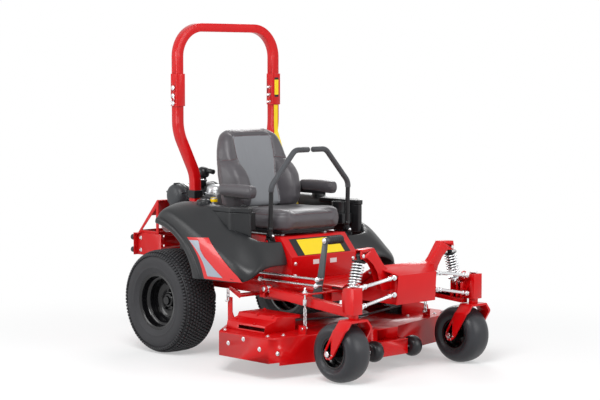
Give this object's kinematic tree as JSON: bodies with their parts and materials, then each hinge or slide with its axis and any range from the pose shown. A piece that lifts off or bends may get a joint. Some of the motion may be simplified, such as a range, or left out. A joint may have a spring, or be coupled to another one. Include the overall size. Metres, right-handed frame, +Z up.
{
  "type": "zero turn mower",
  "caption": "Ride-on zero turn mower with roll bar, suspended caster front end, mid-mounted mowing deck, rear engine and two steering levers.",
  "frame": {"origin": "on the ground under the centre of the overall bounding box", "axes": "+X forward in the driving direction, +Y to the operator's left, +Z up"},
  "size_m": [2.175, 1.5, 1.93],
  "materials": {
    "red_paint": "gloss",
    "black_paint": "satin",
    "grey_paint": "satin",
    "zinc_steel": "satin",
    "chrome_steel": "gloss",
    "cast_metal": "matte",
    "blade_steel": "satin",
    "tyre_rubber": "matte",
    "smooth_rubber": "satin",
    "belt_rubber": "matte",
    "black_plastic": "satin",
    "grip_foam": "matte",
    "seat_vinyl": "satin"
  },
  "bodies": {
    "frame": {"frame_rails": "red_paint", "wheel_motors": "cast_metal", "shock_tower": "red_paint", "front_cowl": "red_paint", "front_cradle": "red_paint", "floor_pan": "red_paint", "seat_riser": "red_paint", "frame_fasteners": "zinc_steel", "rops_uprights": "red_paint", "fenders": "black_plastic", "rear_bumper": "red_paint", "rear_guard": "red_paint", "bumper_knobs": "smooth_rubber", "engine_block": "cast_metal", "engine_shroud": "black_plastic", "air_cleaner": "black_plastic", "side_consoles": "black_plastic"},
    "deck": {"deck_shell": "red_paint", "belt_covers": "red_paint", "deck_belt": "belt_rubber", "deck_hangers": "zinc_steel"},
    "blade_right": {"blade_right": "blade_steel"},
    "blade_centre": {"blade_centre": "blade_steel"},
    "blade_left": {"blade_left": "blade_steel"},
    "lift_pedal": {"lift_pedal": "grey_paint"},
    "lift_rods": {"lift_rods": "zinc_steel"},
    "lift_crank": {"lift_crank": "red_paint"},
    "rops_hoop": {"rops_hoop": "red_paint"},
    "seat": {"seat_cushion": "seat_vinyl", "seat_back": "seat_vinyl"},
    "rear_wheel_right": {"rear_tyre_right": "tyre_rubber", "rear_rim_right": "black_paint"},
    "front_arm_right": {"front_arm_right": "red_paint"},
    "upper_rod_right": {"upper_rod_right": "zinc_steel"},
    "lower_rod_right": {"lower_rod_right": "zinc_steel"},
    "shock_body_right": {"shock_body_right": "black_paint", "coil_spring_right": "zinc_steel"},
    "shock_rod_right": {"shock_rod_right": "chrome_steel"},
    "caster_fork_right": {"caster_fork_right": "red_paint"},
    "caster_wheel_right": {"caster_tyre_right": "smooth_rubber", "caster_rim_right": "black_paint"},
    "anti_scalp_roller_right": {"anti_scalp_roller_right": "smooth_rubber"},
    "armrest_right": {"armrest_right": "seat_vinyl"},
    "lever_pivot_right": {"lever_pivot_right": "black_paint"},
    "drive_lever_right": {"drive_lever_right": "grip_foam"},
    "rear_wheel_left": {"rear_tyre_left": "tyre_rubber", "rear_rim_left": "black_paint"},
    "front_arm_left": {"front_arm_left": "red_paint"},
    "upper_rod_left": {"upper_rod_left": "zinc_steel"},
    "lower_rod_left": {"lower_rod_left": "zinc_steel"},
    "shock_body_left": {"shock_body_left": "black_paint", "coil_spring_left": "zinc_steel"},
    "shock_rod_left": {"shock_rod_left": "chrome_steel"},
    "caster_fork_left": {"caster_fork_left": "red_paint"},
    "caster_wheel_left": {"caster_tyre_left": "smooth_rubber", "caster_rim_left": "black_paint"},
    "anti_scalp_roller_left": {"anti_scalp_roller_left": "smooth_rubber"},
    "armrest_left": {"armrest_left": "seat_vinyl"},
    "lever_pivot_left": {"lever_pivot_left": "black_paint"},
    "drive_lever_left": {"drive_lever_left": "grip_foam"}
  },
  "joints": [
    {"name": "rear_wheel_spin_right", "type": "hinge", "parent": "frame", "child": "rear_wheel_right", "pos_m": [-0.4825, -0.509, 0.304], "axis": [0, 1, 0], "continuous": true},
    {"name": "front_arm_pivot_right", "type": "hinge", "parent": "frame", "child": "front_arm_right", "pos_m": [0.2675, -0.415, 0.434], "axis": [0, 1, 0], "range_deg": [-2.5, 2.5], "stiffness_Nm_per_rad": 7400},
    {"name": "upper_rod_swing_right", "type": "hinge", "parent": "frame", "child": "upper_rod_right", "pos_m": [1.0075, -0.17, 0.54], "axis": [1, 0, 0], "range_deg": [-7.6, 7.6]},
    {"name": "lower_rod_swing_right", "type": "hinge", "parent": "frame", "child": "lower_rod_right", "pos_m": [1.0075, -0.17, 0.449], "axis": [1, 0, 0], "range_deg": [-7.6, 7.6]},
    {"name": "shock_swing_right", "type": "hinge", "parent": "frame", "child": "shock_body_right", "pos_m": [0.9345, -0.352, 0.667], "axis": [1, 0, 0], "range_deg": [-2.3, 2.3]},
    {"name": "shock_slide_right", "type": "slide", "parent": "shock_body_right", "child": "shock_rod_right", "axis": [0, -0.2722, -0.9622], "range_m": [-0.0285, 0.0285], "deforming": ["coil_spring_right"]},
    {"name": "caster_swivel_right", "type": "hinge", "parent": "front_arm_right", "child": "caster_fork_right", "pos_m": [1.0115, -0.475, 0.44], "axis": [0, 0, 1], "continuous": true},
    {"name": "caster_wheel_spin_right", "type": "hinge", "parent": "caster_fork_right", "child": "caster_wheel_right", "pos_m": [0.9245, -0.475, 0.163], "axis": [0, 1, 0], "continuous": true},
    {"name": "anti_scalp_roller_spin_right", "type": "hinge", "parent": "deck", "child": "anti_scalp_roller_right", "pos_m": [0.8455, -0.152, 0.119], "axis": [0, 1, 0], "continuous": true},
    {"name": "armrest_fold_right", "type": "hinge", "parent": "seat", "child": "armrest_right", "pos_m": [-0.2225, -0.3, 0.944], "axis": [0, 1, 0], "range_deg": [-80, 0]},
    {"name": "lever_swing_right", "type": "hinge", "parent": "frame", "child": "lever_pivot_right", "pos_m": [0.1705, -0.305, 0.684], "axis": [0, 1, 0], "range_deg": [-10, 15]},
    {"name": "lever_fold_right", "type": "hinge", "parent": "lever_pivot_right", "child": "drive_lever_right", "pos_m": [0.1705, -0.305, 0.716], "axis": [1, 0, 0], "range_deg": [0, 20]},
    {"name": "rear_wheel_spin_left", "type": "hinge", "parent": "frame", "child": "rear_wheel_left", "pos_m": [-0.4825, 0.509, 0.304], "axis": [0, 1, 0], "continuous": true},
    {"name": "front_arm_pivot_left", "type": "hinge", "parent": "frame", "child": "front_arm_left", "pos_m": [0.2675, 0.415, 0.434], "axis": [0, 1, 0], "range_deg": [-2.5, 2.5], "stiffness_Nm_per_rad": 7400},
    {"name": "upper_rod_swing_left", "type": "hinge", "parent": "frame", "child": "upper_rod_left", "pos_m": [1.0075, 0.17, 0.54], "axis": [1, 0, 0], "range_deg": [-7.6, 7.6]},
    {"name": "lower_rod_swing_left", "type": "hinge", "parent": "frame", "child": "lower_rod_left", "pos_m": [1.0075, 0.17, 0.449], "axis": [1, 0, 0], "range_deg": [-7.6, 7.6]},
    {"name": "shock_swing_left", "type": "hinge", "parent": "frame", "child": "shock_body_left", "pos_m": [0.9345, 0.352, 0.667], "axis": [1, 0, 0], "range_deg": [-2.3, 2.3]},
    {"name": "shock_slide_left", "type": "slide", "parent": "shock_body_left", "child": "shock_rod_left", "axis": [0, 0.2722, -0.9622], "range_m": [-0.0285, 0.0285], "deforming": ["coil_spring_left"]},
    {"name": "caster_swivel_left", "type": "hinge", "parent": "front_arm_left", "child": "caster_fork_left", "pos_m": [1.0115, 0.475, 0.44], "axis": [0, 0, 1], "continuous": true},
    {"name": "caster_wheel_spin_left", "type": "hinge", "parent": "caster_fork_left", "child": "caster_wheel_left", "pos_m": [0.9245, 0.475, 0.163], "axis": [0, 1, 0], "continuous": true},
    {"name": "anti_scalp_roller_spin_left", "type": "hinge", "parent": "deck", "child": "anti_scalp_roller_left", "pos_m": [0.8455, 0.152, 0.119], "axis": [0, 1, 0], "continuous": true},
    {"name": "armrest_fold_left", "type": "hinge", "parent": "seat", "child": "armrest_left", "pos_m": [-0.2225, 0.3, 0.944], "axis": [0, 1, 0], "range_deg": [-80, 0]},
    {"name": "lever_swing_left", "type": "hinge", "parent": "frame", "child": "lever_pivot_left", "pos_m": [0.1705, 0.305, 0.684], "axis": [0, 1, 0], "range_deg": [-10, 15]},
    {"name": "lever_fold_left", "type": "hinge", "parent": "lever_pivot_left", "child": "drive_lever_left", "pos_m": [0.1705, 0.305, 0.716], "axis": [1, 0, 0], "range_deg": [-20, 0]},
    {"name": "deck_lift", "type": "slide", "parent": "frame", "child": "deck", "axis": [0, 0, 1], "range_m": [0, 0.05]},
    {"name": "lift_pedal_swing", "type": "hinge", "parent": "frame", "child": "lift_pedal", "pos_m": [0.5835, -0.34, 0.4], "axis": [0, 1, 0], "range_deg": [0, 27.5]},
    {"name": "lift_rod_slide", "type": "slide", "parent": "frame", "child": "lift_rods", "axis": [1, 0, 0], "range_m": [0, 0.041]},
    {"name": "lift_crank_swing", "type": "hinge", "parent": "frame", "child": "lift_crank", "pos_m": [0.1815, 0, 0.4], "axis": [0, 1, 0], "range_deg": [0, 37]},
    {"name": "blade_spin_centre", "type": "hinge", "parent": "deck", "child": "blade_centre", "pos_m": [0.5475, 0, 0.108], "axis": [0, 0, 1], "continuous": true},
    {"name": "blade_spin_right", "type": "hinge", "parent": "deck", "child": "blade_right", "pos_m": [0.4075, -0.478, 0.108], "axis": [0, 0, 1], "continuous": true},
    {"name": "blade_spin_left", "type": "hinge", "parent": "deck", "child": "blade_left", "pos_m": [0.4075, 0.478, 0.108], "axis": [0, 0, 1], "continuous": true},
    {"name": "rops_fold", "type": "hinge", "parent": "frame", "child": "rops_hoop", "pos_m": [-0.5625, 0, 1.547], "axis": [0, 1, 0], "range_deg": [-125, 0]},
    {"name": "seat_slide", "type": "slide", "parent": "frame", "child": "seat", "axis": [1, 0, 0], "range_m": [-0.04, 0.04]}
  ],
  "couplings": [
    {"joint": "upper_rod_swing_right", "follows": "front_arm_pivot_right", "ratio": 2.9839},
    {"joint": "lower_rod_swing_right", "follows": "front_arm_pivot_right", "ratio": 2.9839},
    {"joint": "shock_swing_right", "follows": "front_arm_pivot_right", "ratio": 0.852},
    {"joint": "shock_slide_right", "follows": "front_arm_pivot_right", "m_per_rad": 0.6418},
    {"joint": "upper_rod_swing_left", "follows": "front_arm_pivot_left", "ratio": -2.9839},
    {"joint": "lower_rod_swing_left", "follows": "front_arm_pivot_left", "ratio": -2.9839},
    {"joint": "shock_swing_left", "follows": "front_arm_pivot_left", "ratio": -0.852},
    {"joint": "shock_slide_left", "follows": "front_arm_pivot_left", "m_per_rad": 0.6418},
    {"joint": "lift_pedal_swing", "follows": "deck_lift", "rad_per_m": 9.5},
    {"joint": "lift_rod_slide", "follows": "deck_lift", "ratio": 0.8},
    {"joint": "lift_crank_swing", "follows": "deck_lift", "rad_per_m": 12.8},
    {"joint": "blade_spin_right", "follows": "blade_spin_centre", "ratio": 1},
    {"joint": "blade_spin_left", "follows": "blade_spin_centre", "ratio": 1}
  ]
}
